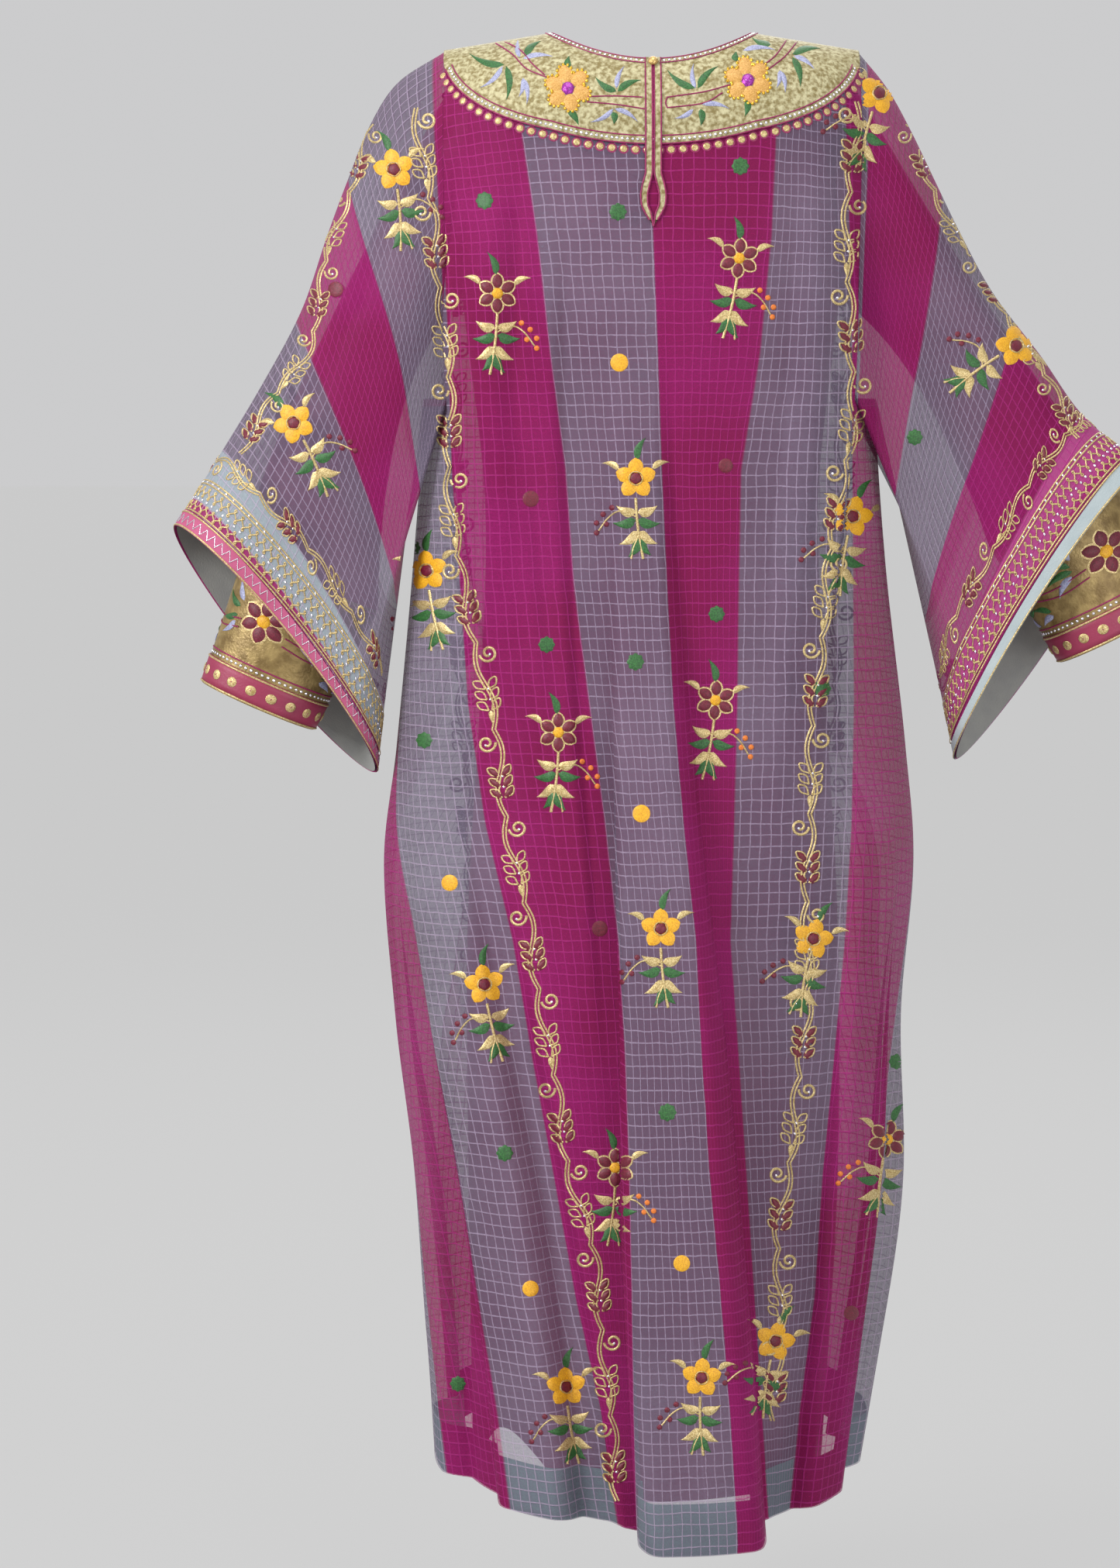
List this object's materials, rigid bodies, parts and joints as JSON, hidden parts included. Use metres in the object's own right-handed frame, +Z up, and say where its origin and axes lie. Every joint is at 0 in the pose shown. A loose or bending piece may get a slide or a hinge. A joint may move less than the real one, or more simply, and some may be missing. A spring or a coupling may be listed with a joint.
{
  "type": "thobe",
  "caption": "Hollow worn thobe: sheer striped over-robe with gold yoke, nape slit and wide sleeves, over a plain under-dress with narrow cuffed sleeves.",
  "frame": {"origin": "on the shoulder line, midway between the two neck points, where the garment hangs from the shoulders", "axes": "+Z up, -Y out of the wearer's back, +X to the wearer's right"},
  "size_m": [0.9186, 0.4608, 1.3536],
  "materials": {
    "sheer_stripe": "sheer striped cloth with embroidery",
    "hem_cloth": "doubled cloth",
    "gold_cloth": "close gold embroidery and sequins",
    "magenta_band": "band with gold discs",
    "under_cloth": "plain smooth lining cloth"
  },
  "bodies": {
    "root": {"back_panel": "sheer_stripe", "front_panel": "sheer_stripe", "side_gore_left": "sheer_stripe", "side_gore_right": "sheer_stripe", "sleeve_left": "sheer_stripe", "sleeve_right": "sheer_stripe", "hem_turnup_back": "hem_cloth", "hem_turnup_front": "hem_cloth", "hem_turnup_left": "hem_cloth", "hem_turnup_right": "hem_cloth", "sleeve_facing_left": "hem_cloth", "sleeve_facing_right": "hem_cloth", "sleeve_edge_left": "hem_cloth", "sleeve_edge_right": "hem_cloth", "yoke_back_left": "gold_cloth", "yoke_back_right": "gold_cloth", "yoke_front": "gold_cloth", "slit_binding": "gold_cloth", "neck_button": "gold_cloth", "cuff_left": "gold_cloth", "cuff_right": "gold_cloth", "cuff_band_left": "magenta_band", "cuff_band_right": "magenta_band", "under_dress_back": "under_cloth", "under_dress_front": "under_cloth", "under_sleeve_left": "under_cloth", "under_sleeve_right": "under_cloth"}
  },
  "joints": []
}
